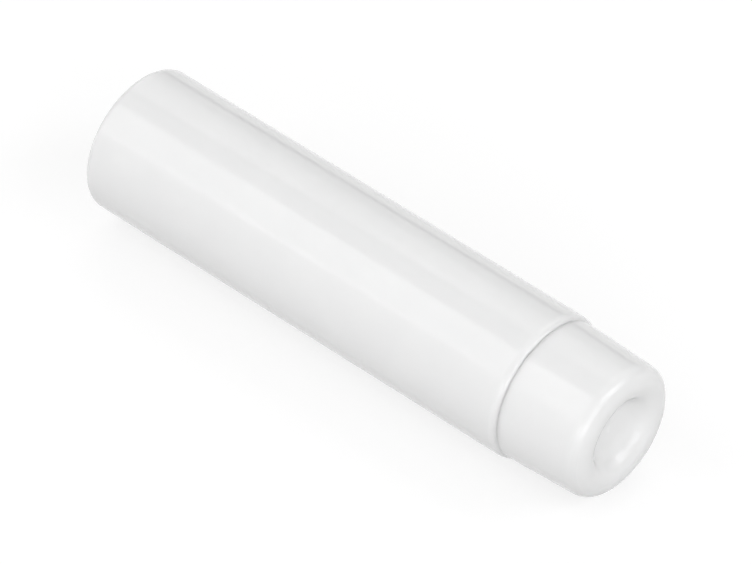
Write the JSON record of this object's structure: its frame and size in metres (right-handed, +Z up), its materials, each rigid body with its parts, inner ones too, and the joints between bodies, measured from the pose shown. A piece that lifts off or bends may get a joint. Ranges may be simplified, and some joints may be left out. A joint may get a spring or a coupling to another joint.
{
  "type": "saliva ejector tip",
  "caption": "White plastic saliva ejector tip: a straight round grip sleeve with a sealed hose socket at the rear and a dimpled nose cap that pulls off for use.",
  "frame": {"origin": "on the ground under the middle of the lying tip", "axes": "+X along the tip's axis towards the nose, +Z up, ground at z = 0, axis 8 mm above it"},
  "size_m": [0.065, 0.016, 0.016],
  "materials": {
    "white_plastic": "semi-gloss moulded",
    "grip_silicone": "matte soft",
    "strainer_steel": "satin",
    "seal_rubber": "satin"
  },
  "bodies": {
    "tip": {"tip_sleeve": "white_plastic", "ejector_bush": "grip_silicone", "strainer_disc": "strainer_steel", "socket_o_ring_outer": "seal_rubber", "socket_o_ring_inner": "seal_rubber"},
    "cap": {"closing_cap": "white_plastic", "cap_o_ring": "seal_rubber"}
  },
  "joints": [
    {"name": "cap_pull", "type": "slide", "parent": "tip", "child": "cap", "axis": [1, 0, 0], "range_m": [0, 0.025]}
  ]
}
